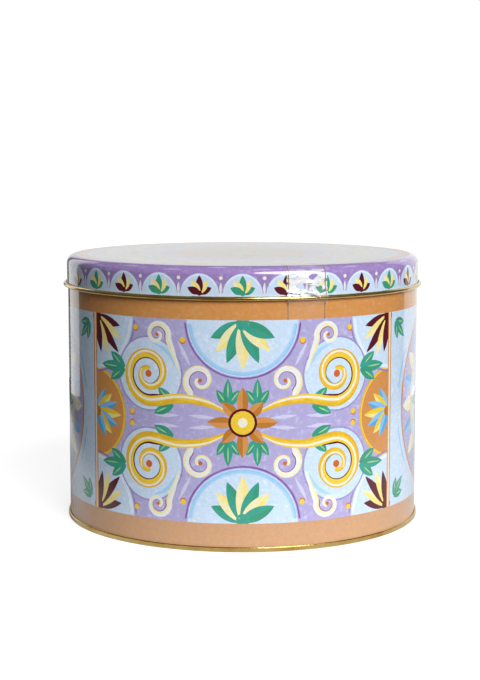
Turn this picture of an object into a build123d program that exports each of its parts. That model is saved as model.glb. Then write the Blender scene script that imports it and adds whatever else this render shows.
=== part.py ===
"""Round lithographed tin with a slip lid: body, seamed base, lid, and a clear seal strip in two halves.

Millimetres. Origin on the surface the tin stands on, on its axis. +Z is up, -Y is the front,
and the side seam of the body is at the back, on +Y.
Every piece is thin sheet, so each section is a path that a sheet follows in the (radius, height) plane.
"""
import os
from math import asin, atan2, cos, degrees, radians, sin, sqrt

from build123d import *

# Driving sizes of the tin
body_radius = 112.0
overall_height = 168.0
tinplate = 0.25

# Lid: a drawn cap whose hem is rolled outwards
lid_depth = 18.5
lid_clearance = 0.30
lid_shoulder_radius = 5.5
lid_curl_radius = 1.25
curl_turn = 300

# Body: rolled wall, mouth rolled inwards, foot hooked into the base, folded seam at the back
mouth_curl_radius = 1.2
mouth_seat_gap = 0.10
side_seam_width = 5.0
side_seam_fold = 0.45
side_seam_groove = 0.12
side_seam_groove_width = 0.4
side_seam_margin = 3.0

# Base: sunk panel with a pressed step, joined to the wall by a double seam
seam_height = 3.0
seam_gap = 0.15
seam_corner_radius = 0.4
hook_end_gap = 0.25
base_panel_height = 4.2
base_corner_radius = 1.0
base_step_inset = 24.0
base_step_rise = 0.8
base_step_angle = 35

# Clear seal strip from the lid's top down to the wall, cut at the lid's rolled hem
seal_film = 0.08
seal_stand_off = 0.02
seal_width = 25.0
seal_side_angle = 19.4
seal_on_top = 11.0
seal_on_wall = 8.0
seal_tent_height = 5.0
seal_bend_radius = 0.5
seal_cut_gap = 0.35

# What the pieces share
lid_outer_radius = body_radius + lid_clearance + tinplate
shoulder_centre_radius = lid_outer_radius - lid_shoulder_radius
shoulder_centre_height = overall_height - lid_shoulder_radius
lid_curl_centre_radius = lid_outer_radius + lid_curl_radius - tinplate
lid_curl_centre_height = overall_height - lid_depth
seal_lift = seal_stand_off + seal_film / 2
seal_wrap_radius = lid_curl_radius + seal_lift


def turned(vector, angle):
    """A (radius, height) vector turned by an angle, anticlockwise."""
    c, s = cos(radians(angle)), sin(radians(angle))
    return (vector[0] * c - vector[1] * s, vector[0] * s + vector[1] * c)


def moved(point, heading, distance):
    return (point[0] + heading[0] * distance, point[1] + heading[1] * distance)


def section(start, heading, moves, thickness):
    """The face of a sheet whose middle line starts at start and makes each move in turn.

    A move is a length to go straight, or a (bend radius, angle) pair. Positive angles turn left.
    """
    half = thickness / 2
    point, left_side, right_side = start, [], []
    ends = [(moved(point, turned(heading, 90), half), moved(point, turned(heading, -90), half))]
    for move in moves:
        left = turned(heading, 90)
        if isinstance(move, tuple):
            radius, angle = move
            side = 1 if angle > 0 else -1
            centre = moved(point, left, side * radius)
            spokes = [turned((point[0] - centre[0], point[1] - centre[1]), angle * part) for part in (0, 0.5, 1)]
            for edges, shift in ((left_side, -side), (right_side, side)):
                scale = (radius + shift * half) / radius
                edges.append(ThreePointArc(*[(centre[0] + x * scale, centre[1] + y * scale) for x, y in spokes]))
            point = (centre[0] + spokes[2][0], centre[1] + spokes[2][1])
            heading = turned(heading, angle)
        else:
            for edges, sign in ((left_side, 1), (right_side, -1)):
                begin = moved(point, left, sign * half)
                edges.append(Line(begin, moved(begin, heading, move)))
            point = moved(point, heading, move)
    ends.append((moved(point, turned(heading, 90), half), moved(point, turned(heading, -90), half)))
    caps = [Line(*pair) for pair in ends if pair[0] != pair[1]]
    return Plane.XZ * make_face(left_side + right_side + caps)


def lid():
    """Top panel, round shoulder and skirt drawn from one sheet, with the hem rolled outwards."""
    half = tinplate / 2
    skirt = shoulder_centre_height - lid_curl_centre_height
    moves = [
        shoulder_centre_radius,
        (lid_shoulder_radius - half, -90),
        skirt,
        (lid_curl_radius - half, curl_turn),
    ]
    return revolve(section((0, overall_height - half), (1, 0), moves, tinplate), Axis.Z)


def body_wall():
    """Rolled wall with its foot hook, its mouth curl and the folded side seam inside."""
    half = tinplate / 2
    hook_bend = tinplate + seam_gap
    hook_radius = body_radius - half + 2 * hook_bend
    foot_bend_height = tinplate + seam_gap + hook_bend + half
    hook_top = seam_height - tinplate - hook_end_gap
    reach = lid_shoulder_radius - tinplate - mouth_curl_radius
    mouth_centre_height = shoulder_centre_height + sqrt(
        (reach - mouth_seat_gap) ** 2 - (reach - lid_clearance) ** 2
    )
    moves = [
        hook_top - foot_bend_height,
        (hook_bend, -180),
        mouth_centre_height - foot_bend_height,
        (mouth_curl_radius - half, curl_turn),
    ]
    wall = revolve(section((hook_radius, hook_top), (0, -1), moves, tinplate), Axis.Z)

    seam_bottom = base_panel_height + side_seam_margin
    seam_length = mouth_centre_height - mouth_curl_radius - side_seam_margin - seam_bottom
    inner_radius = body_radius - tinplate
    fold = strip_on_wall(inner_radius - side_seam_fold, body_radius - half, side_seam_width, seam_bottom, seam_length)
    groove = strip_on_wall(
        body_radius - side_seam_groove, body_radius + tinplate, side_seam_groove_width, seam_bottom, seam_length
    )
    return wall + fold - groove


def strip_on_wall(inner, outer, width, bottom, length):
    """A thin upright strip between two radii, at the back of the tin."""
    angle = degrees(width / body_radius)
    face = Plane.XZ * Pos((inner + outer) / 2, bottom + length / 2) * Rectangle(outer - inner, length)
    return Rot(0, 0, 90 - angle / 2) * revolve(face, Axis.Z, angle)


def base_plate():
    """Sunk panel, its pressed step, the wall that lies against the body, and the double seam."""
    half = tinplate / 2
    hook_bend = tinplate + seam_gap
    chuck_radius = body_radius - tinplate - seam_gap - half
    seam_outer_radius = body_radius - half + 3 * hook_bend
    bend = seam_corner_radius
    step_bend = base_corner_radius
    step_run = 2 * step_bend * sin(radians(base_step_angle))
    step_drop = 2 * step_bend * (1 - cos(radians(base_step_angle)))
    slope = (base_step_rise - step_drop) / sin(radians(base_step_angle))
    step_width = step_run + slope * cos(radians(base_step_angle))
    panel_radius = body_radius - base_step_inset
    foot_inner = chuck_radius + bend
    foot_outer = seam_outer_radius - bend
    top_bend_height = seam_height - half - hook_bend
    foot_bend_inside = tinplate + seam_gap + hook_bend
    moves = [
        panel_radius,
        (step_bend, -base_step_angle),
        slope,
        (step_bend, base_step_angle),
        chuck_radius - base_corner_radius - panel_radius - step_width,
        (base_corner_radius, -90),
        base_panel_height - base_step_rise - half - base_corner_radius - half - bend,
        (bend, 90),
        foot_outer - foot_inner,
        (bend, 90),
        top_bend_height - half - bend,
        (hook_bend, 180),
        top_bend_height - foot_bend_inside - hook_end_gap,
    ]
    return revolve(section((0, base_panel_height - half), (1, 0), moves, tinplate), Axis.Z)


def seal_strip(start, heading, moves):
    """A strip of the seal film, wrapped round the tin over the seal's own angle."""
    angle = degrees(seal_width / body_radius)
    strip = revolve(section(start, heading, moves, seal_film), Axis.Z, angle)
    return Rot(0, 0, seal_side_angle - 90 - angle / 2) * strip


def seal_round_hem(gap, fall):
    """How a film crosses from an upright face to the rolled hem: the angle it leans and its straight length.

    The film leaves the face at a height fall from the hem's centre, through a small bend.
    gap is the distance of the face's film from that centre.
    """
    across = gap - seal_bend_radius
    reach = sqrt(across ** 2 + fall ** 2)
    radii = seal_bend_radius + seal_wrap_radius
    return degrees(atan2(across, fall) + asin(radii / reach)), sqrt(reach ** 2 - radii ** 2)


def seal_upper():
    """The half of the seal on the lid: top, shoulder, skirt, then over the rolled hem."""
    lean, tent = seal_round_hem(lid_curl_centre_radius - lid_outer_radius - seal_lift, seal_tent_height)
    moves = [
        seal_on_top,
        (lid_shoulder_radius + seal_lift, -90),
        shoulder_centre_height - lid_curl_centre_height - seal_tent_height,
        (seal_bend_radius, lean),
        tent,
        (seal_wrap_radius, -lean),
    ]
    return seal_strip((shoulder_centre_radius - seal_on_top, overall_height + seal_lift), (1, 0), moves)


def seal_lower():
    """The half of the seal on the body: from just under the hem in to the wall, then down it."""
    lean, tent = seal_round_hem(lid_curl_centre_radius - body_radius - seal_lift, seal_tent_height)
    skipped = degrees(seal_cut_gap / seal_wrap_radius)
    out = turned((seal_wrap_radius, 0), -skipped)
    start = (lid_curl_centre_radius + out[0], lid_curl_centre_height + out[1])
    moves = [
        (seal_wrap_radius, skipped - lean),
        tent,
        (seal_bend_radius, lean),
        seal_on_wall,
    ]
    return seal_strip(start, turned((0, -1), -skipped), moves)


pieces = {
    "lid": lid(),
    "body_wall": body_wall(),
    "base_plate": base_plate(),
    "seal_upper": seal_upper(),
    "seal_lower": seal_lower(),
}
os.makedirs("parts", exist_ok=True)
for name, piece in pieces.items():
    export_step(piece, f"parts/{name}.step")
    box = piece.bounding_box()
    print(name, round(piece.volume, 1), [round(v, 2) for v in (*box.min, *box.max)])
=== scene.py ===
from math import asin, atan2, ceil, copysign, cos, degrees, pi, radians, sin, sqrt

import bmesh
import bpy
from mathutils import Matrix, Vector, noise
from mathutils.geometry import convex_hull_2d, delaunay_2d_cdt


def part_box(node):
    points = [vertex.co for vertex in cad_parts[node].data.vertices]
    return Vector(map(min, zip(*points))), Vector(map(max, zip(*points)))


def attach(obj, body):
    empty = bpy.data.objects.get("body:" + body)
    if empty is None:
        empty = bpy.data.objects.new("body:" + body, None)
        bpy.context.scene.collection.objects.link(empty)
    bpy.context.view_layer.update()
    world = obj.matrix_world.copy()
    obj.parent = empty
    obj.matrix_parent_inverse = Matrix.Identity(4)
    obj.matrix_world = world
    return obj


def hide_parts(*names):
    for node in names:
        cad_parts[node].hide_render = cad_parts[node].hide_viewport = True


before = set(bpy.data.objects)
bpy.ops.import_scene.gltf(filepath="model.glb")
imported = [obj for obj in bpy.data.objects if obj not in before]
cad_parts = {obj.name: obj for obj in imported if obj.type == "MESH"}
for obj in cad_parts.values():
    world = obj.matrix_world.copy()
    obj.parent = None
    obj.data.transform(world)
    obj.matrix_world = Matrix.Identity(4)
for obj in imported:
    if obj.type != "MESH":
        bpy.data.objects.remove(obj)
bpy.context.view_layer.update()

# --------------------------------------------------
# Base: one drawn disc of tinplate with a sunk panel and a pressed ring, lacquered gold on both sides.
# Its rim is rolled round the foot of the wall in a double seam, which is the bright ring the tin stands on.
# --------------------------------------------------
mm = 0.001
columns = 160                       # straight facets round the tin, shared by every turned piece
finest_bend = 12                    # how many degrees one facet of a bend turns
merge_distance = 0.002
sharp_angle = 50
tinplate = 0.25
body_radius = 112.0
seam_height = 3.0
seam_gap = 0.15
seam_corner_radius = 0.4
hook_end_gap = 0.25
base_panel_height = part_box("base_plate")[1].z / mm
base_corner_radius = 1.0
base_step_inset = 24.0
base_step_rise = 0.8
base_step_angle = 35


def ink(code):
    """Linear red, green and blue of an ink given as its usual six-figure code."""
    values = [int(code[i:i + 2], 16) / 255 for i in (0, 2, 4)]
    return tuple(v / 12.92 if v <= 0.04045 else ((v + 0.055) / 1.055) ** 2.4 for v in values)


def sheet_outline(start, heading, moves, thickness):
    """The closed outline, as (radius, height), of a sheet bent along its middle line.

    A move is a length to go straight, or a (bend radius, angle) pair. Positive angles turn left.
    """
    point, way = Vector(start), Vector(heading)
    left, right = [], []

    def mark():
        side = Vector((-way.y, way.x)) * thickness / 2
        left.append(point + side)
        right.append(point - side)

    mark()
    for move in moves:
        if not isinstance(move, tuple):
            point = point + way * move
            mark()
            continue
        bend, angle = move
        steps = max(3, round(abs(angle) / finest_bend))
        turn = Matrix.Rotation(radians(angle) / steps, 2)
        centre = point + Vector((-way.y, way.x)) * copysign(bend, angle)
        for _ in range(steps):
            point = centre + turn @ (point - centre)
            way = turn @ way
            mark()
    return left + right[::-1]


def turn_outline(bm, outline, closed):
    """Spins an outline of (radius, height) points, in millimetres, a full turn round the tin's axis."""
    verts = [bm.verts.new((r * mm, 0, z * mm)) for r, z in outline]
    pairs = list(zip(verts, verts[1:] + verts[:1] if closed else verts[1:]))
    edges = [bm.edges.new(pair) for pair in pairs if max(pair[0].co.x, pair[1].co.x) > 1e-9]
    bmesh.ops.spin(
        bm, geom=verts + edges, cent=(0, 0, 0), axis=(0, 0, 1), dvec=(0, 0, 0),
        angle=2 * pi, steps=columns, use_merge=True,
    )


def place_object(name, data):
    """Puts a mesh, a light or a camera in the scene."""
    placed = bpy.data.objects.new(name, data)
    bpy.context.scene.collection.objects.link(placed)
    return placed


def finish_piece(name, bm, materials, body, node):
    """Closes a mesh, faces it outwards and hands it over as the piece that stands for a CAD node."""
    bmesh.ops.remove_doubles(bm, verts=bm.verts, dist=merge_distance * mm)
    bmesh.ops.recalc_face_normals(bm, faces=bm.faces)
    mesh = bpy.data.meshes.new(name)
    bm.to_mesh(mesh)
    bm.free()
    for material in materials:
        mesh.materials.append(material)
    mesh.shade_smooth()
    mesh.set_sharp_from_angle(angle=radians(sharp_angle))
    piece = place_object(name, mesh)
    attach(piece, body)
    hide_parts(node)
    return piece


def node_group(name, inputs, outputs):
    """An empty shader group with named sockets. Inputs are name: start value, outputs name: socket type."""
    group = bpy.data.node_groups.new(name, "ShaderNodeTree")
    for label, value in inputs.items():
        kind = "NodeSocketFloat" if isinstance(value, (int, float)) else "NodeSocketColor"
        socket = group.interface.new_socket(label, in_out="INPUT", socket_type=kind)
        socket.default_value = value
    for label, kind in outputs.items():
        group.interface.new_socket(label, in_out="OUTPUT", socket_type=kind)
    return group, group.nodes.new("NodeGroupInput"), group.nodes.new("NodeGroupOutput")


def feed(tree, node, inputs):
    """Gives each input of a node a fixed value or the socket that drives it."""
    for label, value in inputs.items():
        if isinstance(value, bpy.types.NodeSocket):
            tree.links.new(value, node.inputs[label])
        else:
            node.inputs[label].default_value = value


def add_node(tree, kind, inputs=None, **settings):
    """A node with its settings and its inputs."""
    node = tree.nodes.new(kind)
    for label, value in settings.items():
        setattr(node, label, value)
    feed(tree, node, inputs or {})
    return node


def new_material(name):
    """A node material, with its tree and its shader."""
    material = bpy.data.materials.new(name)
    material.use_nodes = True
    return material, material.node_tree, material.node_tree.nodes["Principled BSDF"]


def noise_level(tree, vector, **values):
    """The level of a Noise texture over a vector, about 0.5 in the middle."""
    return add_node(tree, "ShaderNodeTexNoise", {"Vector": vector, **values}).outputs["Fac"]


def stretched(tree, vector, scale, **values):
    """A vector scaled on each axis, and turned or moved if that is given."""
    return add_node(tree, "ShaderNodeMapping", {"Vector": vector, "Scale": scale, **values}).outputs[0]


def ramp(tree, value, low, high, bottom=0.0, top=1.0, smooth=True):
    """Takes a value from between low and high to between bottom and top, and holds it outside them."""
    inputs = {"Value": value, "From Min": low, "From Max": high, "To Min": bottom, "To Max": top}
    kind = "SMOOTHSTEP" if smooth else "LINEAR"
    return add_node(tree, "ShaderNodeMapRange", inputs, interpolation_type=kind).outputs[0]


def maths(tree, operation, *terms, clamp=False):
    """A Math node on numbers and sockets, given in order."""
    inputs = dict(enumerate(terms))
    return add_node(tree, "ShaderNodeMath", inputs, operation=operation, use_clamp=clamp).outputs[0]


def mixed(tree, share, first, second, blend="MIX"):
    """A colour Mix node. share, first and second are sockets or fixed values."""
    first, second = ((*term[:3], 1) if isinstance(term, tuple) else term for term in (first, second))
    # The node has sockets for every kind of data: 0 is the factor, 6 and 7 are the colours
    inputs = {0: share, 6: first, 7: second}
    return add_node(tree, "ShaderNodeMix", inputs, data_type="RGBA", blend_type=blend).outputs[2]


def grey(tree, value):
    """A colour with the same level in all three channels."""
    levels = {"Red": value, "Green": value, "Blue": value}
    return add_node(tree, "ShaderNodeCombineColor", levels).outputs[0]


# Handling: fine scuffs and faint smears that every lacquered face of a shelf tin picks up.
handling, inside, outside = node_group(
    "handling", {"Scuff Amount": 0.5, "Smear Amount": 0.5},
    {"Roughness Shift": "NodeSocketFloat", "Height": "NodeSocketFloat"},
)
where = add_node(handling, "ShaderNodeTexCoord").outputs["Object"]
along = stretched(handling, where, (60, 60, 900))
scuffs = noise_level(handling, along, Scale=1.0, Detail=4.0, Roughness=0.65)
scuff_lines = ramp(handling, scuffs, 0.62, 0.75)
smears = noise_level(handling, where, Scale=22.0, Detail=3.0, Roughness=0.55)
smeared = maths(handling, "SUBTRACT", smears, 0.5)
smear_level = maths(handling, "MULTIPLY", smeared, inside.outputs["Smear Amount"])
scuff_level = maths(handling, "MULTIPLY", scuff_lines, inside.outputs["Scuff Amount"])
feed(handling, outside, {
    "Roughness Shift": maths(handling, "ADD", smear_level, scuff_level),
    "Height": maths(handling, "MULTIPLY", scuff_lines, -1.0),
})


def add_wear(tree, shader, scuff, smear, roughness, relief, scuff_depth):
    """Adds handling marks to a lacquered face that has its own roughness and relief."""
    amounts = {"Scuff Amount": scuff, "Smear Amount": smear}
    wear = add_node(tree, "ShaderNodeGroup", amounts, node_tree=handling).outputs
    worn = maths(tree, "ADD", wear["Roughness Shift"], roughness, clamp=True)
    height = maths(tree, "MULTIPLY_ADD", wear["Height"], scuff_depth, relief)
    bump = add_node(tree, "ShaderNodeBump", {"Strength": 0.12, "Distance": 0.0004, "Height": height})
    feed(tree, shader, {"Roughness": worn, "Normal": bump.outputs[0]})


def gold_lacquer_material():
    """Clear gold lacquer over bright tinplate: rolled grain round the tin, thicker lacquer in patches."""
    material, tree, shader = new_material("gold_lacquer")
    where = add_node(tree, "ShaderNodeTexCoord").outputs["Object"]
    grain = noise_level(tree, stretched(tree, where, (220, 220, 2600)), Scale=1.0, Detail=3.0)
    patches = noise_level(tree, where, Scale=45.0, Detail=4.0, Roughness=0.6)
    tone = mixed(tree, ramp(tree, patches, 0.35, 0.7), ink("E9CF86"), ink("D2A850"))
    grained = mixed(tree, maths(tree, "MULTIPLY", grain, 0.35), tone, ink("A97E35"))
    add_wear(tree, shader, 0.12, 0.14, maths(tree, "MULTIPLY_ADD", grain, 0.12, 0.14), grain, 0.4)
    feed(tree, shader, {"Base Color": grained, "Metallic": 1.0, "Coat Weight": 0.35, "Coat Roughness": 0.12})
    return material


gold_lacquer = gold_lacquer_material()

hook_bend = tinplate + seam_gap
half_sheet = tinplate / 2
chuck_radius = body_radius - tinplate - seam_gap - half_sheet
step_run = 2 * base_corner_radius * sin(radians(base_step_angle))
step_drop = 2 * base_corner_radius * (1 - cos(radians(base_step_angle)))
step_slope = (base_step_rise - step_drop) / sin(radians(base_step_angle))
step_width = step_run + step_slope * cos(radians(base_step_angle))
panel_radius = body_radius - base_step_inset
foot_run = body_radius - half_sheet + 3 * hook_bend - chuck_radius - 2 * seam_corner_radius
hook_top = seam_height - half_sheet - hook_bend
base_outline = sheet_outline((0, base_panel_height - half_sheet), (1, 0), [
    panel_radius,
    (base_corner_radius, -base_step_angle),
    step_slope,
    (base_corner_radius, base_step_angle),
    chuck_radius - base_corner_radius - panel_radius - step_width,
    (base_corner_radius, -90),
    base_panel_height - base_step_rise - tinplate - base_corner_radius - seam_corner_radius,
    (seam_corner_radius, 90),
    foot_run,
    (seam_corner_radius, 90),
    hook_top - half_sheet - seam_corner_radius,
    (hook_bend, 180),
    hook_top - tinplate - seam_gap - hook_bend - hook_end_gap,
], tinplate)
base_mesh = bmesh.new()
turn_outline(base_mesh, base_outline, closed=True)
base = finish_piece("base_disc", base_mesh, [gold_lacquer], "body", "base_plate")

# --------------------------------------------------
# Body wall: one printed sheet rolled into a drum and locked by a folded seam at the back, its mouth
# curled inwards and its foot hooked into the base. Outside it is lithographed and varnished, and
# inside it is gold lacquered.
# --------------------------------------------------
lid_clearance = 0.30
lid_shoulder_radius = 5.5
overall_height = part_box("lid")[1].z / mm
mouth_curl_radius = 1.2
mouth_seat_gap = 0.10
curl_turn = 300
half_round = pi * body_radius       # from the front round to the back, along the wall
finest_turn = radians(15)           # how closely a brush stroke's bends are followed
longest_dab = 4.5
closest_corners = 0.03              # corners of a cell nearer than this are one, and smaller cells left out
smallest_cell = 0.01
streak_stretch = (3.4, 0.22)        # how the brush streaks of a plain area run, along x and y
plain_tone = 0.3
seed_step = 3.7                     # how far apart the streaks of one stroke and the next lie
ground_seed = 0.5 / seed_step
shoulder_centre_radius = body_radius + lid_clearance + tinplate - lid_shoulder_radius
shoulder_centre_height = overall_height - lid_shoulder_radius


def smooth_line(knots):
    """Points along a smooth curve through the knots, each a tuple of any length, closer where it bends."""
    knots = [Vector(k) for k in knots]
    if len(knots) < 3:
        return knots
    ends = [knots[0] * 2 - knots[1]] + knots + [knots[-1] * 2 - knots[-2]]
    line = [knots[0]]
    for before, a, b, after in zip(ends, ends[1:], ends[2:], ends[3:]):
        turn = (b - before).xy.angle((after - a).xy, 0)
        parts = max(2, ceil(turn / finest_turn), ceil((b - a).xy.length / longest_dab))
        for i in range(1, parts + 1):
            t = i / parts
            line.append((a * 2 + (b - before) * t + (before * 2 - a * 5 + b * 4 - after) * t * t
                         + (a * 3 - before - b * 3 + after) * t ** 3) / 2)
    return line


class PrintedSheet:
    """The design printed on a flat sheet, kept as cells of ink in the order they are laid down."""

    def __init__(self, inks):
        self.inks = inks
        self.cells = []
        self.seed = 0
        self.place = lambda x, y: (x, y)

    def lay(self, corners, first, second, rail=None):
        """One cell of ink. rail is its share of a stroke: start, end, half widths and length so far."""
        placed = [Vector(self.place(*c)) for c in corners]
        if rail:
            placed = [placed[i] for i in convex_hull_2d(placed)]
        placed = [p for i, p in enumerate(placed) if (p - placed[i - 1]).length > closest_corners]
        area = sum(a.x * b.y - b.x * a.y for a, b in zip(placed, placed[1:] + placed[:1])) / 2
        if len(placed) < 3 or abs(area) < smallest_cell:
            return
        if rail:
            a, b = Vector(self.place(*rail[0])), Vector(self.place(*rail[1]))
            origin, right, up = (Vector(self.place(*p)) for p in ((0, 0), (1, 0), (0, 1)))
            hand = copysign(1, (right - origin).cross(up - origin))
            rail = (a, b, *rail[2:], hand)
        self.cells.append((placed if area > 0 else placed[::-1], first, second, self.seed, rail))

    def fill(self, *runs, ink, second=None):
        """A flat area whose edge is made of smooth runs that meet at corners."""
        self.seed += 1
        edge = []
        for run in runs:
            edge += smooth_line(run)[:-1]
        self.lay([tuple(p) for p in edge], ink, second or ink)

    def block(self, left, right, low, high, ink, second=None):
        """A plain rectangle of ink."""
        self.seed += 1
        self.lay([(left, low), (right, low), (right, high), (left, high)], ink, second or ink)

    def ribbon(self, line, ink, second, sides=(1, 1)):
        """Cells along a line of (x, y, half width). sides scales the left and right halves."""
        self.seed += 1
        points = [Vector((p[0], p[1])) for p in line]
        run = 0.0
        normals = []
        for i in range(len(points)):
            way = points[min(i + 1, len(points) - 1)] - points[max(i - 1, 0)]
            way = way.normalized() if way.length > 1e-9 else Vector((1, 0))
            normals.append(Vector((-way.y, way.x)))
        for i in range(len(points) - 1):
            a, b, wa, wb = points[i], points[i + 1], max(line[i][2], 0), max(line[i + 1][2], 0)
            corners = [
                a + normals[i] * wa * sides[0], a - normals[i] * wa * sides[1],
                b - normals[i + 1] * wb * sides[1], b + normals[i + 1] * wb * sides[0],
            ]
            length = (b - a).length
            self.lay([tuple(c) for c in corners], ink, second, (a, b, wa, wb, run))
            run += length

    def stroke(self, knots, ink, second=None):
        """A brush stroke through (x, y, width) knots, with a round end wherever it is not thin."""
        line = [Vector((p[0], p[1], p[2] / 2)) for p in smooth_line(knots)]
        for end, near in ((0, 1), (-1, -2)):
            tip, half = line[end].copy(), line[end].z
            if half < 0.3:
                continue
            way = (tip - line[near]).xy.normalized()
            cap = [Vector((*(tip.xy + way * half * sin(a)), half * cos(a))) for a in (0.6, 1.1, 1.5)]
            line = cap[::-1] + line if end == 0 else line + cap
        self.ribbon(line, ink, second or ink)

    def petal(self, root, tip, left, right, ink, second=None, base=0.12):
        """A petal from root to tip, split along its middle where second names another ink."""
        root, tip = Vector(root), Vector(tip)
        way = tip - root
        steps = max(6, round(way.length / 2.2))
        spine = []
        for i in range(steps + 1):
            t = i / steps
            width = sin(pi * (base + (1 - base) * t)) ** 0.85 if i < steps else 0
            spine.append((*(root + way * t), width))
        for share, colour in (((left, 0), ink), ((0, right), second or ink)):
            if max(share):
                self.ribbon(spine, colour, colour, share)

    def disc(self, x, y, radius, ink, second=None, step=None):
        """A round dab of ink, with a corner every so many degrees."""
        self.seed += 1
        angles = [radians(a) for a in range(0, 360, step or (20 if radius < 8 else 6))]
        self.lay([(x + radius * cos(a), y + radius * sin(a)) for a in angles], ink, second or ink)

    def cut(self, outline, lines, holds):
        """Cuts the sheet along every cell's edges. Returns its points, its faces and each face's cell."""
        points = list(outline)
        rings = [list(range(len(outline)))]
        for cell in self.cells:
            rings.append(list(range(len(points), len(points) + len(cell[0]))))
            points += [tuple(p) for p in cell[0]]
        edges = []
        for line in lines:
            edges += [(len(points) + i, len(points) + i + 1) for i in range(len(line) - 1)]
            points += line
        made = delaunay_2d_cdt([Vector(p) for p in points], edges, rings, 0, 0.01, True)
        faces, top_cells = [], []
        for face, owners in zip(made[2], made[5]):
            middle = sum((made[0][i] for i in face), Vector((0, 0))) / len(face)
            if holds(middle):
                faces.append(face)
                above = (o - 1 for o in sorted(owners, reverse=True) if o and self.holds(o - 1, middle))
                top_cells.append(next(above, -1))
        return made[0], faces, top_cells

    def holds(self, cell, point):
        """Whether a point is inside a cell, which is any simple polygon."""
        inside = False
        corners = self.cells[cell][0]
        for a, b in zip(corners, corners[1:] + corners[:1]):
            if (a.y > point.y) == (b.y > point.y):
                continue
            if point.x < a.x + (point.y - a.y) / (b.y - a.y) * (b.x - a.x):
                inside = not inside
        return inside

    def brush(self, owner, point):
        """Where a point lies in its stroke: distance along it, place across it from -1 to 1, and a seed.

        Also its tone, from one side of the stroke to the other. An owner of -1 is the bare ground.
        """
        seed, rail = self.cells[owner][3:5] if owner >= 0 else (ground_seed, None)
        if rail is None:
            return (point[0] * streak_stretch[0], point[1] * streak_stretch[1], seed * seed_step), plain_tone
        a, b, wa, wb, run, hand = rail
        way = b - a
        length = max(way.length, 1e-6)
        t = min(max((Vector(point) - a).dot(way) / length ** 2, 0), 1)
        half = max(wa + (wb - wa) * t, 0.05)
        across = (Vector(point) - a).cross(way) / length / half * hand
        across = min(max(across, -1), 1)
        return (run + t * length, across, seed * seed_step), across / 2 + 0.5


def bend_sheet(bm, sheet, outline, lines, holds, shape, ground):
    """Cuts a printed sheet, bends it to shape and adds it to a mesh. Returns each new corner's normal."""
    points, faces, owners = sheet.cut(outline, lines, holds)
    bent = {i: shape(*points[i]) for i in sorted({i for corners in faces for i in corners})}
    verts = {i: bm.verts.new(Vector(place) * mm) for i, (place, _) in bent.items()}
    colours, vectors = bm.loops.layers.float_color, bm.loops.layers.float_vector
    first = colours.get("ink") or colours.new("ink")
    second = colours.get("second_ink") or colours.new("second_ink")
    brush = vectors.get("brush") or vectors.new("brush")
    for corners, owner in zip(faces, owners):
        try:
            face = bm.faces.new([verts[i] for i in corners])
        except ValueError:
            continue
        under = (ground, ground) if owner < 0 else sheet.cells[owner][1:3]
        for loop, i in zip(face.loops, corners):
            at, tone = sheet.brush(owner, points[i])
            loop[first] = (*sheet.inks[under[0]], tone)
            loop[second] = (*sheet.inks[under[1]], 1.0)
            loop[brush] = at
    return {tuple(round(c, 7) for c in verts[i].co): normal for i, (_, normal) in bent.items()}


def round_wall(rows, radius):
    """How a flat strip bends round the tin. rows are (distance up the strip, radius, height, lean)."""
    pitch = 2 * pi * radius / columns

    def ring_point(column, r, z):
        angle = (column - columns / 2) * 2 * pi / columns
        return Vector((r * sin(angle), -r * cos(angle), z))

    def shape(x, y):
        column = (x + pi * radius) / pitch
        low = min(max(int(column + 1e-6), 0), columns - 1)
        row = next((i for i in range(len(rows) - 2) if y <= rows[i + 1][0] + 1e-9), len(rows) - 2)
        (y0, r0, z0, lean0), (y1, r1, z1, lean1) = rows[row], rows[row + 1]
        t = (y - y0) / (y1 - y0)
        r, z, lean = r0 + (r1 - r0) * t, z0 + (z1 - z0) * t, lean0 + (lean1 - lean0) * t
        place = ring_point(low, r, z).lerp(ring_point(low + 1, r, z), column - low)
        around = (column - columns / 2) * 2 * pi / columns
        return place, Vector((sin(around) * cos(lean), -cos(around) * cos(lean), sin(lean)))

    return shape


def strip_outline(bottom, top, radius, heights=()):
    """The edge of a flat strip that goes once round the tin, with a corner at every facet."""
    edge = [pi * radius * (2 * c / columns - 1) for c in range(columns + 1)]
    return ([(x, bottom) for x in edge] + [(edge[-1], h) for h in heights]
            + [(x, top) for x in edge[::-1]] + [(edge[0], h) for h in list(heights)[::-1]])


def on_strip(bottom, top, radius):
    return lambda p: abs(p.x) < pi * radius and bottom < p.y < top


def facet_lines(bottom, top, radius):
    return [[(pi * radius * (2 * c / columns - 1), y) for y in (bottom, top)] for c in range(1, columns)]


def set_normals(piece, normals):
    """Gives the bent print the normals of the true curve, and leaves the rest as they are."""
    mesh = piece.data
    mesh.normals_split_custom_set_from_vertices(
        [normals.get(tuple(round(c, 7) for c in v.co), Vector((0, 0, 0))) for v in mesh.vertices]
    )

# The inks of the tin, by the names the printer would give them.
tin_inks = {name: ink(code) for name, code in {
    "orange": "CE8F50", "tan": "C89C76", "deep orange": "B8772F", "rust": "C9642F", "maroon": "571523",
    "yellow": "EBC63C", "ochre": "D6A52C", "pale yellow": "F0DE86", "straw": "EBE3B2", "cream": "EAE7D8",
    "lilac": "ADA6D2", "pale lilac": "C9C9E6", "grey lilac": "9C94C4", "violet": "7E4B9B",
    "purple": "9A80BA", "pale blue": "C6DAF0", "ice": "DCE8F6", "light sky": "A6CDEF", "sky": "84BDEA",
    "blue": "4FA3DC", "green": "3B9579", "leaf green": "3C9C88", "light green": "A3CB90",
}.items()}
print_bottom, print_top = 16.9, 136.9
print_middle = (print_bottom + print_top) / 2
panel_rise = (print_top - print_bottom) / 2
panel_reach = 103.0                 # half the width of a scroll panel
lunette_radius = 33.0
corner_fan_radius = 34.0
side_fan_radius = 27.0
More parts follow.
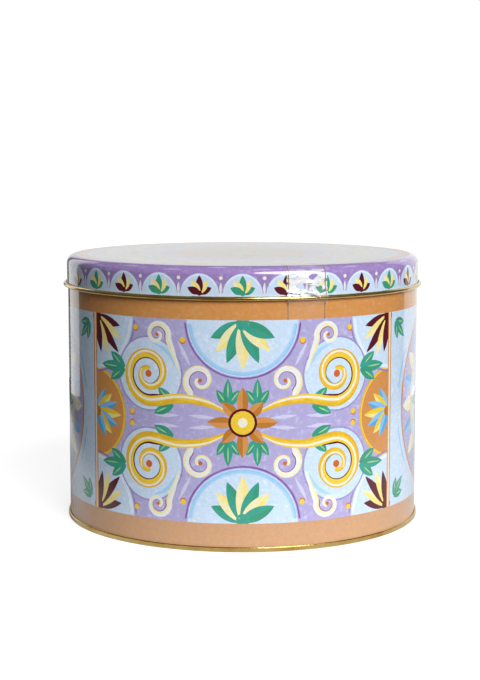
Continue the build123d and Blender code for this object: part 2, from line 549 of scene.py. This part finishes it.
roundel = (58, 27)                  # the middle of a large scroll, from the middle of its panel


def around(x, y, radius, first, last, step, width=None):
    """Points on an arc, from one angle to another, each with a stroke width if one is given."""
    count = max(1, round(abs(last - first) / step))
    angles = [radians(first + (last - first) * i / count) for i in range(count + 1)]
    tail = () if width is None else (width,)
    return [(x + radius * cos(a), y + radius * sin(a), *tail) for a in angles]


def volute(x, y, radius, start, sweep, width):
    """Knots of a scroll that winds evenly into its eye and thins as it goes."""
    count = max(8, round(abs(sweep) / 24))
    knots = []
    for i in range(count + 1):
        t = i / count
        angle, reach = radians(start + sweep * t), radius * (1 - 0.8 * t)
        knots.append((x + reach * cos(angle), y + reach * sin(angle), width * (1 - 0.6 * t)))
    return knots


def painted_scroll(sheet, arm, x, y, radius, start, sweep, width, inks):
    """An arm that runs into a volute: a dark edge, the body, a light line along it, and a round eye."""
    dark, body, shade, light = inks
    edge = volute(x, y, radius - 0.42 * width, start, sweep, width * 0.5)
    sheet.stroke([(a, b, w * 0.5) for a, b, w in arm] + edge, dark)
    whole = arm + volute(x, y, radius, start, sweep, width)
    sheet.stroke(whole, body, shade)
    gleam = [(a, b + 0.16 * width, w * 0.24) for a, b, w in whole]
    sheet.stroke([(*gleam[0][:2], 0.2)] + gleam[1:-3], light)
    sheet.disc(x, y, radius * 0.13, "rust", "deep orange")


def leaf_spray(sheet, x, y, way, size):
    """Three leaves from one root, each with a lighter vein."""
    half = size * 0.17
    for lean, share in ((-36, 0.72), (36, 0.72), (0, 1.0)):
        c, s = cos(radians(way + lean)) * size * share, sin(radians(way + lean)) * size * share
        sheet.petal((x, y), (x + c, y + s), half, half, "leaf green", "green")
        vein = [(x + c * t, y + s * t, w) for t, w in ((0.3, 0.3), (0.55, 0.9), (0.85, 0.3))]
        sheet.stroke(vein, "light green")


def palmette(sheet, x, y, way, spread, length, petals, inks, eye):
    """A regular fan of petals from one root, longest in the middle, with a round eye over the root."""
    for i in range(petals):
        lean = spread * (2 * i / (petals - 1) - 1)
        reach = length * (1 - 0.24 * abs(lean) / spread)
        half = 0.92 * length * radians(spread) / petals
        angle = radians(way + lean)
        tip = (x + reach * cos(angle), y + reach * sin(angle))
        sheet.petal((x, y), tip, half, half, *inks[i % len(inks)])
    sheet.disc(x, y, length * 0.15, *eye)


def turned_place(centre, height, turn=0.0):
    """Places a drawing made about the origin: turned, then moved to its centre."""
    c, s = cos(radians(turn)), sin(radians(turn))
    return lambda x, y: (centre + x * c - y * s, height + x * s + y * c)


maroon_petals = (("maroon",), ("straw", "pale yellow"))
green_petals = (("green", "leaf green"), ("pale yellow", "straw"))
blue_petals = (("blue", "sky"), ("pale yellow", "yellow"))
gold_scroll = ("maroon", "yellow", "ochre", "cream")        # edge, body, shade and light line
pale_scroll = ("violet", "cream", "pale yellow", "ice")


def quarter_of_panel(sheet):
    """The quarter right of and above the middle of a scroll panel. The other three mirror it."""
    wide, high = panel_reach, panel_rise
    corner = around(wide, high, corner_fan_radius, 180, 270, 15)
    sheet.fill([(wide, high), corner[0]], corner, [corner[-1], (wide, high)], ink="pale blue", second="ice")
    sheet.stroke(around(wide, high, corner_fan_radius - 1.6, 184, 266, 14, 2.0), "ice")
    sheet.stroke(around(wide, high, corner_fan_radius + 1.2, 184, 266, 14, 1.2), "grey lilac", "violet")
    palmette(sheet, wide - 2, high - 2, 225, 34, 29, 5, maroon_petals, ("maroon",))
    # A pale roundel behind the large scroll, and light brush marks beside it
    x, y = roundel
    sheet.disc(x, y, 22.4, "grey lilac", "violet")
    sheet.disc(x, y, 21.4, "pale blue", "ice")
    for radius, first, last in ((18.5, 100, 165), (11, 20, 80), (7, 190, 260)):
        arc = around(x, y, radius, first, last, 22)
        mark = [(*p, w) for p, w in zip(arc, (0.3, 2.2, 2.2, 0.3, 0.3))]
        sheet.stroke(mark, "light sky" if radius > 7 else "sky")
    for x, y, turn in ((16, 2.6, 4), (38, 3.4, -3), (31, 33, 62)):
        c, s = cos(radians(turn)), sin(radians(turn))
        sheet.stroke([(x + t * c, y + t * s, w) for t, w in ((0, 0.3), (8, 2.4), (16, 0.3))], "pale lilac")
    # The large scroll, and the two small ones beside it
    painted_scroll(sheet, [(38, 30, 0.8), (41.5, 40, 3.0)], 52, 50.5, 8, 200, -430, 3.8, pale_scroll)
    painted_scroll(sheet, [(30, 13.6, 1.0)], 25, 24.5, 9.5, -50, 430, 4.0, pale_scroll)
    leaf_spray(sheet, 42, 9.6, 10, 19)
    leaf_spray(sheet, 76, 29, 2, 20)
    leaf_spray(sheet, 8.6, 10, 90, 16)
    waist = [(9, 6, 1.2), (22, 11.5, 4.4), (38, 13.4, 5.6)]
    painted_scroll(sheet, waist, *roundel, 17, 250, 560, 6.4, gold_scroll)
    for x, y in ((67, 54), (70, 3.6), (35.5, 48)):
        sheet.disc(x, y - 0.5, 1.9, "rust", "maroon")
        sheet.disc(x, y, 1.7, "yellow", "ochre")


def scroll_panel(sheet, centre):
    """A whole scroll panel: fans on its four edges and a boss in the middle of four scrolls."""
    wide, high = panel_reach, panel_rise
    sheet.place = lambda x, y: (centre + x, print_middle + y)
    sheet.block(-wide, wide, -high, high, "lilac", "pale lilac")
    for up in (1, -1):
        sheet.place = lambda x, y: (centre + x, print_middle + up * y)
        arch = around(0, high, lunette_radius, 180, 360, 15)
        sheet.fill([arch[-1], arch[0]], arch, ink="pale blue", second="ice")
        sheet.stroke(around(0, high, lunette_radius - 1.8, 186, 354, 14, 2.4), "light sky", "sky")
        sheet.stroke(around(0, high, lunette_radius + 1.2, 184, 356, 14, 1.2), "violet", "grey lilac")
        palmette(sheet, 0, high - 2, 270, 66, 27, 7, green_petals, ("leaf green", "light green"))
    for side in (1, -1):
        sheet.place = lambda x, y: (centre + side * x, print_middle + y)
        arch = around(wide, 0, side_fan_radius, 90, 270, 15)
        sheet.fill([arch[-1], arch[0]], arch, ink="orange", second="deep orange")
        sheet.stroke(around(wide, 0, side_fan_radius, 92, 268, 14, 1.8), "yellow", "ochre")
        palmette(sheet, wide - 2, 0, 180, 62, 22, 7, blue_petals, ("deep orange",))
        for up in (1, -1):
            sheet.place = lambda x, y: (centre + side * x, print_middle + up * y)
            quarter_of_panel(sheet)
    for turn in range(0, 360, 45):
        sheet.place = turned_place(centre, print_middle, turn)
        sheet.petal((5, 0), (17 if turn % 90 else 21, 0), 3.4, 3.4, "orange", "deep orange")
    sheet.place = turned_place(centre, print_middle)
    for radius, *inks in ((8.4, "maroon"), (7.0, "yellow", "ochre"), (2.8, "cream", "pale yellow")):
        sheet.disc(0, 0, radius, *inks)
    for side in (1, -1):
        sheet.place = lambda x, y: (centre + side * x, print_middle + y)
        for width, *inks in ((3.6, "orange", "deep orange"), (1.3, "cream", "pale yellow")):
            sheet.block(wide - width / 2, wide + width / 2, -high - 1, high + 1, *inks)


def rosette_medallion(sheet, centre):
    """The round medallion between two scroll panels: rings of regular petals about a boss."""
    for side in (1, -1):
        for up in (1, -1):
            sheet.place = lambda x, y: (centre + side * x, print_middle + up * y)
            leaf_spray(sheet, 66, 54, 222, 16)
            sheet.stroke(around(0, 0, 62, 12, 34, 11, 1.6), "light sky", "sky")
    sheet.place = turned_place(centre, print_middle)
    sheet.disc(0, 0, 57.5, "orange", "deep orange")
    sheet.disc(0, 0, 55.5, "lilac", "pale lilac")
    for i in range(20):
        sheet.place = turned_place(centre, print_middle, i * 18)
        inks = (("straw", "cream"), ("sky", "blue"))[i % 2]
        sheet.petal((38, 0), (54, 0), 4.6, 4.6, *inks, base=0.25)
    sheet.place = turned_place(centre, print_middle)
    sheet.disc(0, 0, 40, "yellow", "ochre")
    sheet.disc(0, 0, 38.4, "pale blue", "ice")
    for i in range(8):
        sheet.place = turned_place(centre, print_middle, i * 45)
        leaf_spray(sheet, 15, 0, 0, 21)
        sheet.place = turned_place(centre, print_middle, i * 45 + 22.5)
        sheet.petal((8, 0), (31, 0), 3.6, 3.6, "maroon", "rust")
        sheet.disc(34, 0, 1.6, "yellow", "ochre")
        sheet.petal((4, 0), (18, 0), 4.2, 4.2, "pale yellow", "yellow")
    sheet.place = turned_place(centre, print_middle)
    sheet.disc(0, 0, 7.6, "maroon")
    sheet.disc(0, 0, 6.2, "yellow", "ochre")
def litho_material():
    """Varnished litho print: brush-laid ink, a fine plate grain and a clear, slightly wavy varnish."""
    material, tree, shader = new_material("printed_tinplate")
    first, second, brush = (
        add_node(tree, "ShaderNodeAttribute", attribute_name=name).outputs
        for name in ("ink", "second_ink", "brush")
    )
    where = add_node(tree, "ShaderNodeTexCoord").outputs["Object"]

    def swing(level, amount, middle):
        return maths(tree, "MULTIPLY_ADD", maths(tree, "SUBTRACT", level, 0.5), amount, middle)

    drawn = stretched(tree, brush["Vector"], (0.12, 1.9, 1.0))
    streaks = noise_level(tree, drawn, Scale=1.0, Detail=4.0, Roughness=0.6)
    blend = ramp(tree, swing(streaks, 2.6, first["Alpha"]), 0.35, 1.0, top=0.85)
    painted = mixed(tree, blend, first["Color"], second["Color"])
    fine = noise_level(tree, where, Scale=2600.0, Detail=2.0)
    coarse = noise_level(tree, where, Scale=420.0, Detail=4.0, Roughness=0.6)
    grain = maths(tree, "ADD", maths(tree, "MULTIPLY", fine, 0.55), maths(tree, "MULTIPLY", coarse, 0.45))
    value = maths(tree, "MULTIPLY", swing(grain, 0.5, 1.0), swing(streaks, 0.22, 1.0))
    printed = mixed(tree, 1.0, painted, grey(tree, value), "MULTIPLY")
    wave = noise_level(tree, where, Scale=95.0, Detail=2.0)
    relief = maths(tree, "ADD", maths(tree, "MULTIPLY", wave, 0.6), maths(tree, "MULTIPLY", grain, 0.05))
    add_wear(tree, shader, 0.1, 0.08, maths(tree, "MULTIPLY_ADD", fine, 0.1, 0.16), relief, 0.1)
    feed(tree, shader, {
        "Base Color": printed, "Specular IOR Level": 0.15,
        "Coat Weight": 1.0, "Coat Roughness": 0.05, "Coat IOR": 1.5,
    })
    return material


printed_tinplate = litho_material()

wall_print = PrintedSheet(tin_inks)
past_seam = half_round + 1
seam_foot, seam_head = 7.2, 159.7   # where the folded side seam starts and ends
seam_line = 0.4


def lay_band(low, high, first, second):
    """A plain band of ink right round the wall."""
    wall_print.place = lambda x, y: (x, y)
    wall_print.block(-past_seam, past_seam, low, high, first, second)


lay_band(print_bottom - 1, print_top + 1, "pale blue", "ice")
for centre in (half_round / 2, -half_round / 2):
    rosette_medallion(wall_print, centre)
for centre in (0, half_round, -half_round):
    scroll_panel(wall_print, centre)
lay_band(-1, print_bottom, "tan", "orange")
lay_band(print_top, overall_height, "orange", "tan")
# The side seam's outer groove, as a dark line, half of it at each end of the strip
for end in (half_round, -half_round):
    wall_print.place = lambda x, y: (end + x, y)
    wall_print.block(-seam_line / 2, seam_line / 2, seam_foot, seam_head, "maroon", "deep orange")

foot_bend_height = tinplate + seam_gap + hook_bend + half_sheet
mouth_reach = lid_shoulder_radius - tinplate - mouth_curl_radius
mouth_centre_height = shoulder_centre_height + sqrt(
    (mouth_reach - mouth_seat_gap) ** 2 - (mouth_reach - lid_clearance) ** 2
)
hook_rise = seam_height - tinplate - hook_end_gap - foot_bend_height
hook_radius = body_radius - half_sheet + 2 * hook_bend
wall_outline = sheet_outline((hook_radius, foot_bend_height + hook_rise), (0, -1), [
    hook_rise,
    (hook_bend, -180),
    mouth_centre_height - foot_bend_height,
    (mouth_curl_radius - half_sheet, curl_turn),
], tinplate)


def outer_run(i):
    """How long the outline is between two corners, where it is the printed outer face."""
    before, after = wall_outline[i - 1], wall_outline[i]
    return abs(after.y - before.y) if before.x + after.x > 2 * body_radius - 0.01 else 0


# The outline is opened at its printed face, which is made from the print itself
printed_face = max(range(len(wall_outline)), key=outer_run)
wall_outline = wall_outline[printed_face:] + wall_outline[:printed_face]
wall_mesh = bmesh.new()
turn_outline(wall_mesh, wall_outline, closed=False)
# The folded side seam, which stands proud inside the back of the wall
fold_width, fold_depth, fold_inset = 5.0, 0.5, 0.2
fold_middle = Vector((0, body_radius - tinplate - fold_inset, (seam_foot + seam_head) / 2))
fold_place = Matrix.Translation(fold_middle * mm)
fold_size = Matrix.Diagonal((fold_width * mm, fold_depth * mm, (seam_head - seam_foot) * mm, 1))
bmesh.ops.create_cube(wall_mesh, size=1.0, matrix=fold_place @ fold_size)
for face in wall_mesh.faces:
    face.material_index = 1
wall_span = (foot_bend_height, mouth_centre_height)
wall_rows = [(height, body_radius, height, 0) for height in wall_span]
wall_normals = bend_sheet(
    wall_mesh, wall_print, strip_outline(*wall_span, body_radius), facet_lines(*wall_span, body_radius),
    on_strip(*wall_span, body_radius), round_wall(wall_rows, body_radius), "orange",
)
tin_materials = [printed_tinplate, gold_lacquer]
wall = finish_piece("wall", wall_mesh, tin_materials, "body", "body_wall")
set_normals(wall, wall_normals)

# --------------------------------------------------
# Lid: a drawn cap of the same tinplate. The print runs from the rolled hem up the skirt, over the
# shoulder and across the top, and the inside and the hem stay gold.
# --------------------------------------------------
lid_depth = 18.5
lid_curl_radius = 1.25
lid_outer_radius = body_radius + lid_clearance + tinplate
lid_curl_centre_height = overall_height - lid_depth
arches = 28
round_lid = pi * lid_outer_radius
arch_pitch = 2 * round_lid / arches
skirt_top = shoulder_centre_height + lid_shoulder_radius * pi / 2


def skirt_arch(sheet, number):
    """One round arch of the skirt with a regular palmette under it, and a dot between it and the next."""
    leaf = ("green", "maroon")[number % 2]
    foot = lid_curl_centre_height + 2.2
    centre = arch_pitch * number
    half = arch_pitch / 2
    # An arch that the back of the lid cuts through is drawn at both ends of the strip
    for lap in ((0,) if abs(centre) + half < round_lid else (-1, 0, 1)):
        sheet.place = lambda x, y: (centre + x + lap * 2 * round_lid, foot + y)
        arch = [(x * (half - 1), y * 12.2) for x, y in around(0, 0, 1, 0, 180, 15)]
        sheet.fill(arch, [arch[-1], arch[0]], ink="pale blue", second="light sky")
        sheet.stroke([(x * 0.93, y * 0.93, 0.8) for x, y in arch[2:-2]], "ice")
        palmette(sheet, 0, 0.8, 90, 66, 10.4, 5, ((leaf,), ("straw", "pale yellow")), (leaf,))
        sheet.disc(half, 9.6, 1.1, "cream", "pale lilac")
        sheet.petal((half, 0.6), (half, 7.2), 0.9, 0.9, "cream", "pale lilac")


skirt_print = PrintedSheet(tin_inks)
past_join = round_lid + 1
foot_band, shoulder_band = (149, 153), (152.6, 173)     # each runs past an edge of the sheet
skirt_print.block(-past_join, past_join, *foot_band, "pale blue", "light sky")
skirt_print.block(-past_join, past_join, *shoulder_band, "purple", "lilac")
# Light marks on the purple, none of them across the join at the back, whose two edges have to match
light_marks = 46
for i in range(light_marks):
    at = -round_lid + 2 + (i * 83.0) % (2 * round_lid - 15)
    up = 165.4 + (i * 2.7) % 4
    skirt_print.stroke([(at, up, 0.3), (at + 5, up + 0.5, 0.8), (at + 11, up + 0.1, 0.3)], "lilac")
for number in range(-arches // 2, arches // 2 + 1):
    skirt_arch(skirt_print, number)

shoulder_steps = 8
shoulder_rows = [(lid_curl_centre_height, lid_outer_radius, lid_curl_centre_height, 0)]
for i in range(shoulder_steps + 1):
    angle = i / shoulder_steps * pi / 2
    shoulder_rows.append((
        shoulder_centre_height + lid_shoulder_radius * angle,
        shoulder_centre_radius + lid_shoulder_radius * cos(angle),
        shoulder_centre_height + lid_shoulder_radius * sin(angle),
        angle,
    ))

# The face of the lid: rings of colour round a band of scrolls
top_print = PrintedSheet(tin_inks)
for radius, first, second in (
    (shoulder_centre_radius + 1, "purple", "lilac"), (106.2, "orange", "tan"), (99.4, "ice", "pale blue"),
    (97.4, "sky", "light sky"), (95.8, "pale blue", "ice"), (59.5, "orange", "yellow"),
    (57.4, "pale blue", "ice"), (54, "lilac", "pale lilac"), (46.4, "light sky", "ice"),
    (43.6, "tan", "orange"),
):
    top_print.disc(0, 0, radius, first, second, step=3)
top_motifs = 10
scroll_band_radius = 78
for number in range(top_motifs):
    for side in (1, -1):
        turn = turned_place(0, 0, number * 360 / top_motifs)

        def round_ring(x, y):
            angle, radius = side * x / scroll_band_radius, scroll_band_radius + y
            return turn(radius * sin(angle), radius * cos(angle))

        top_print.place = round_ring
        stroke, petal = top_print.stroke, top_print.petal
        stroke([(24, 15, 0.6), (16, 16.4, 2.6), (6, 13, 2), (0, 15, 1)], "light sky", "sky")
        stroke([(24.4, -17, 1), (14, -15, 3), (4, -16.6, 2)], "lilac", "pale lilac")
        stroke([(1, -12, 1.5), (5, -6, 3.4), (12, -5, 4), (18, -9, 3.4), (22, -14, 1.4)], "yellow", "ochre")
        stroke([(3, 12, 1), (9, 10, 3), (15, 5, 3.6), (19, -1, 3.6), (24.6, -4, 3)], "yellow", "orange")
        curl = [(9, 4, 0.8), (12, 8, 2.6), (17, 8.4, 3.4), (20, 4.4, 3.2), (17.6, 1, 1.6)]
        stroke(curl, "cream", "pale yellow")
        stroke([(13, 5, 0.5), (15.6, 5.8, 1.7), (17.4, 4, 1.2)], "rust", "maroon")
        stroke([(7, -10, 0.6), (10, -8.6, 2.4), (13.6, -10.6, 1.6)], "violet", "purple")
        petal((14, -6), (24, -10.4), 1.8, 1.8, "leaf green", "green")
        petal((18, 10), (25, 15.4), 1.8, 1.8, "green", "light green")
        petal((4, 2), (10.6, -1.4), 1.8, 1.8, "green", "leaf green")
        petal((1, -3), (0.4, 10.6), 3, 0, "pale yellow")
        petal((1, -1), (6, 8), 1.8, 1.8, "green", "pale yellow")
        top_print.disc(22.4, 9.4, 1.9, "yellow", "ochre")
# The middle: eight green petals round a boss
for number in range(8):
    top_print.place = turned_place(0, 0, number * 45)
    reach, green = ((34, "green"), (30, "leaf green"))[number % 2]
    top_print.petal((0, 7), (0, reach), 4.2, 4.2, green, "light green")
    top_print.stroke([(-7, 33, 0.4), (-3, 37, 1.3), (3, 37, 1.3), (7, 33, 0.4)], "orange", "rust")
    top_print.petal((0, 44.8), (0, 53.4), 2.4, 2.4, "violet", "purple")
top_print.place = turned_place(0, 0)
top_print.disc(0, 0, 8.4, "maroon")
top_print.disc(0, 0, 6.8, "yellow", "ochre")
facet_angles = [(c - columns / 2) * 2 * pi / columns for c in range(columns)]
top_edge = [(shoulder_centre_radius * sin(a), -shoulder_centre_radius * cos(a)) for a in facet_angles]

lid_outline = sheet_outline((0, overall_height - half_sheet), (1, 0), [
    shoulder_centre_radius,
    (lid_shoulder_radius - half_sheet, -90),
    shoulder_centre_height - lid_curl_centre_height,
    (lid_curl_radius - half_sheet, curl_turn),
], tinplate)
skirt_foot_corner = Vector((lid_outer_radius, lid_curl_centre_height))
skirt_foot = next(i for i, p in enumerate(lid_outline) if (p - skirt_foot_corner).length < 1e-4)
lid_mesh = bmesh.new()
turn_outline(lid_mesh, lid_outline[skirt_foot:], closed=False)
for face in lid_mesh.faces:
    face.material_index = 1
skirt_span = (lid_curl_centre_height, skirt_top)
inner_rows = [row[0] for row in shoulder_rows[1:-1]]
skirt_lines = facet_lines(*skirt_span, lid_outer_radius)
skirt_edge = [round_lid * (2 * c / columns - 1) for c in range(columns + 1)]
skirt_lines += [[(x, height) for x in skirt_edge] for height in inner_rows]
lid_normals = bend_sheet(
    lid_mesh, skirt_print, strip_outline(*skirt_span, lid_outer_radius, inner_rows), skirt_lines,
    on_strip(*skirt_span, lid_outer_radius), round_wall(shoulder_rows, lid_outer_radius), "purple",
)
lid_normals.update(bend_sheet(
    lid_mesh, top_print, top_edge, [], lambda p: p.length < shoulder_centre_radius,
    lambda x, y: (Vector((x, y, overall_height)), Vector((0, 0, 1))), "purple",
))
lid = finish_piece("lid_cap", lid_mesh, tin_materials, "lid", "lid")
set_normals(lid, lid_normals)

# --------------------------------------------------
# Seal: one strip of clear film from the lid's face down to the wall, slit along the lid's hem when the
# tin is opened. It is stuck down by hand, so it puckers over the hem, and a fine gold line, dark in
# places, is printed just inside each long edge.
# --------------------------------------------------
seal_film = 0.08
seal_stand_off = 0.02
seal_width = 25.0
seal_side_angle = 19.4
seal_on_top = 11.0
seal_on_wall = 8.0
seal_tent_height = 5.0
seal_bend_radius = 0.5
seal_cut_gap = 0.35
seal_line_inset = 1.0
pucker = 0.55                       # how far the loose film lifts
film_step = 0.7
film_columns = 30
lid_curl_centre_radius = lid_outer_radius + lid_curl_radius - tinplate
seal_lift = seal_stand_off + seal_film / 2
seal_wrap_radius = lid_curl_radius + seal_lift


def round_hem(gap, fall):
    """How a film crosses from an upright face to the rolled hem: its lean and its straight length."""
    across = gap - seal_bend_radius
    reach = sqrt(across ** 2 + fall ** 2)
    radii = seal_bend_radius + seal_wrap_radius
    return degrees(atan2(across, fall) + asin(radii / reach)), sqrt(reach ** 2 - radii ** 2)


def film_line(start, heading, moves):
    """The film's middle line as (radius, height) points close enough together to pucker."""
    outline = sheet_outline(start, heading, moves, 0)
    path = outline[:len(outline) // 2]
    line = [path[0]]
    for point in path[1:]:
        parts = max(1, ceil((point - line[-1]).length / film_step))
        line += [line[-1].lerp(point, i / parts) for i in range(1, parts + 1)]
    return line


def clear_film_material():
    """Clear glossy film with a printed line along each edge, and painted glare: white patches on the creases
    of the loose film and a whiter rim where it is seen edge-on.
    """
    material, tree, shader = new_material("clear_film")
    place = add_node(tree, "ShaderNodeAttribute", attribute_name="strip").outputs["Vector"]
    across, along, _ = add_node(tree, "ShaderNodeSeparateXYZ", {"Vector": place}).outputs
    off_line = maths(tree, "SUBTRACT", maths(tree, "ABSOLUTE", across), seal_width / 2 - seal_line_inset)
    on_line = ramp(tree, maths(tree, "ABSOLUTE", off_line), 0.34, 0.2, smooth=False)
    worn = noise_level(tree, place, Scale=1.4, Detail=3.0)
    on_line = maths(tree, "MULTIPLY", on_line, ramp(tree, worn, 0.3, 0.4, smooth=False))
    creased = stretched(tree, place, (0.075, 0.2, 1.0), Rotation=(0, 0, 0.5), Location=(0.3, 0.1, 0))
    creases = noise_level(tree, creased, Scale=1.0, Detail=3.0, Distortion=1.2)
    # Painted glare: white film colour standing in for reflection, on the creases of the loose film between
    # the shoulder and the hem
    low = ramp(tree, along, 15.0, 18.0, smooth=False)
    high = ramp(tree, along, 33.0, 30.0, smooth=False)
    painted_glare = maths(tree, "MULTIPLY", maths(tree, "MULTIPLY", low, high), ramp(tree, creases, 0.44, 0.5))
    dust = noise_level(tree, place, Scale=6.0, Detail=5.0, Roughness=0.7)
    gilt = mixed(tree, worn, ink("3A2A12"), ink("B98A3C"))
    # Painted reflection: the film is covered whiter the more edge-on it is seen
    rim = add_node(tree, "ShaderNodeLayerWeight", {"Blend": 0.25}).outputs["Facing"]
    cover = maths(tree, "MULTIPLY", dust, 0.08)
    for level, amount in ((painted_glare, 0.85), (rim, 0.3), (on_line, 0.95)):
        cover = maths(tree, "MAXIMUM", cover, maths(tree, "MULTIPLY", level, amount), clamp=True)
    bump = add_node(tree, "ShaderNodeBump", {"Strength": 0.3, "Distance": 0.0006, "Height": creases})
    feed(tree, shader, {
        "Base Color": mixed(tree, on_line, (0.95, 0.95, 0.97), gilt), "Alpha": cover,
        "Roughness": maths(tree, "MULTIPLY_ADD", dust, 0.1, 0.06), "Normal": bump.outputs[0],
        "Specular IOR Level": 0.6, "Coat Weight": 0.6, "Coat Roughness": 0.04,
    })
    return material


clear_film = clear_film_material()


def seal_piece(name, line, run, loose, body, node):
    """Sweeps the film's line across the seal's width, puckers it where it is loose and thickens it."""
    bm = bmesh.new()
    verts = [bm.verts.new((p.x * mm, 0, p.y * mm)) for p in line]
    edges = [bm.edges.new(pair) for pair in zip(verts, verts[1:])]
    angle = seal_width / body_radius
    bmesh.ops.spin(
        bm, geom=verts + edges, cent=(0, 0, 0), axis=(0, 0, 1), dvec=(0, 0, 0),
        angle=angle, steps=film_columns, use_merge=False,
    )
    bmesh.ops.recalc_face_normals(bm, faces=bm.faces)
    if sum(f.normal.dot(Vector((f.calc_center_median().x, 0, 0.3))) for f in bm.faces) < 0:
        bmesh.ops.reverse_faces(bm, faces=bm.faces)
    distances = [run]
    for a, b in zip(line, line[1:]):
        distances.append(distances[-1] + (b - a).length)
    strip = bm.verts.layers.float_vector.new("strip")
    bm.normal_update()
    for vert in bm.verts:
        x, y, z = vert.co / mm
        across = (atan2(y, x) - angle / 2) * body_radius
        flat = Vector((sqrt(x * x + y * y), z))
        along = distances[min(range(len(line)), key=lambda i: (line[i] - flat).length_squared)]
        vert[strip] = (across, along, 0)
        low, high = loose
        share = max(0, min(1, (along - low) / 1.5, (high - along) / 1.5))
        share *= max(0.35, min(1, (seal_width / 2 - abs(across)) / 3))
        lift = noise.noise(Vector((across * 0.16, along * 0.42, 3.1)))
        lift += 0.6 * noise.noise(Vector((across * 0.4 + along * 0.3, along * 0.5, 7.7)))
        vert.co += vert.normal * max(0, lift + 0.15) * pucker * share * mm
    turned = Matrix.Rotation(radians(seal_side_angle - 90) - angle / 2, 4, "Z")
    bmesh.ops.transform(bm, matrix=turned, verts=bm.verts)
    bmesh.ops.solidify(bm, geom=bm.faces[:], thickness=seal_film * mm)
    return finish_piece(name, bm, [clear_film], body, node)


upper_lean, upper_tent = round_hem(lid_curl_centre_radius - lid_outer_radius - seal_lift, seal_tent_height)
upper_line = film_line((shoulder_centre_radius - seal_on_top, overall_height + seal_lift), (1, 0), [
    seal_on_top,
    (lid_shoulder_radius + seal_lift, -90),
    shoulder_centre_height - lid_curl_centre_height - seal_tent_height,
    (seal_bend_radius, upper_lean),
    upper_tent,
    (seal_wrap_radius, -upper_lean),
])
seal_piece("seal_film_upper", upper_line, 0.0, (18.5, 32.5), "lid", "seal_upper")
lower_lean, lower_tent = round_hem(lid_curl_centre_radius - body_radius - seal_lift, seal_tent_height)
skipped = degrees(seal_cut_gap / seal_wrap_radius)
c, s = cos(radians(skipped)), sin(radians(skipped))
cut = (lid_curl_centre_radius + seal_wrap_radius * c, lid_curl_centre_height - seal_wrap_radius * s)
lower_line = film_line(cut, (-s, -c), [
    (seal_wrap_radius, skipped - lower_lean),
    lower_tent,
    (seal_bend_radius, lower_lean),
    seal_on_wall,
])
seal_piece("seal_film_lower", lower_line, 40.0, (42.0, 46.0), "body", "seal_lower")

# --------------------------------------------------
# Studio: a white table, white to the camera and a painted pool of light fading to black for the tin, under
# one large soft light at the right. White cards stand behind the tin and show as pale bands down its sides,
# and little light comes from the front left.
# --------------------------------------------------
scene = bpy.context.scene
scene.view_settings.view_transform = "Standard"
camera = bpy.data.cameras.new("camera")
camera.lens = 84.9
camera.sensor_width = 36
camera_object = place_object("camera", camera)
camera_object.location = (-0.001576, -1.0308, 0.2415)
camera_pitch = 7.1956
camera_object.rotation_euler = (radians(90 - camera_pitch), 0, 0)
scene.camera = camera_object

floor_mesh = bmesh.new()
bmesh.ops.create_grid(floor_mesh, x_segments=4, y_segments=4, size=12)
floor_data = bpy.data.meshes.new("floor")
floor_mesh.to_mesh(floor_data)
floor_mesh.free()
floor = place_object("floor", floor_data)
paper, tree, shader = new_material("white_paper")
seen = add_node(tree, "ShaderNodeLightPath").outputs["Is Camera Ray"]
where = add_node(tree, "ShaderNodeTexCoord").outputs["Object"]
# Painted pool of light: the rays that light the tin see the floor pale grey within a third of a metre of a
# point behind and right of the tin, nearly black beyond 0.45 m; the camera sees it white
lit_spot = stretched(tree, where, (1, 1, 1), Location=(-0.1, -0.16, 0))
spread = add_node(tree, "ShaderNodeVectorMath", {0: lit_spot}, operation="LENGTH").outputs["Value"]
painted_light_pool = grey(tree, ramp(tree, spread, 0.33, 0.45, bottom=0.72, top=0.06))
feed(tree, shader, {
    "Base Color": mixed(tree, seen, painted_light_pool, (0.36, 0.36, 0.36)),
    "Emission Color": mixed(tree, seen, (0.0, 0.0, 0.0), (0.8, 0.8, 0.8)),
    "Emission Strength": 1.0, "Roughness": 0.9, "Specular IOR Level": 0.1,
})
floor_data.materials.append(paper)

key = bpy.data.lights.new("key", "SUN")
key.energy = 3.7
key.angle = radians(35)
key_object = place_object("key", key)
key_side, key_height = radians(28), radians(31)
key_way = Vector((sin(key_side) * cos(key_height), -cos(key_side) * cos(key_height), sin(key_height)))
key_object.rotation_euler = key_way.to_track_quat("Z", "Y").to_euler()


def card(name, left, right, radiance):
    """An upright white card between two (x, y) ends, seen only in reflections and by what it lights."""
    left, right = Vector(left), Vector(right)
    bottom, top = 0.002, 0.5
    width, height = (right - left).length, top - bottom
    light = bpy.data.lights.new(name, "AREA")
    light.shape = "RECTANGLE"
    light.size, light.size_y = width, height
    light.energy = radiance * pi * width * height
    light_object = place_object(name, light)
    light_object.location = (*((left + right) / 2), (bottom + top) / 2)
    along = (right - left).normalized()
    light_object.rotation_euler = Vector((along.y * -1, along.x, 0)).to_track_quat("Z", "Y").to_euler()
    light_object.visible_camera = False


card("right_card", (0.17, 0.55), (0.48, 0.271), 0.85)
card("back_card", (-0.27, 0.55), (0.17, 0.55), 0.62)
card("left_card", (-0.46, 0.298), (-0.307, 0.43), 0.95)

world = bpy.data.worlds.new("studio")
scene.world = world
world.use_nodes = True
tree = world.node_tree
seen = add_node(tree, "ShaderNodeLightPath").outputs["Is Camera Ray"]
sky = mixed(tree, seen, (0.14, 0.14, 0.14), (1.0, 1.0, 1.0))
feed(tree, tree.nodes["Background"], {"Color": sky})
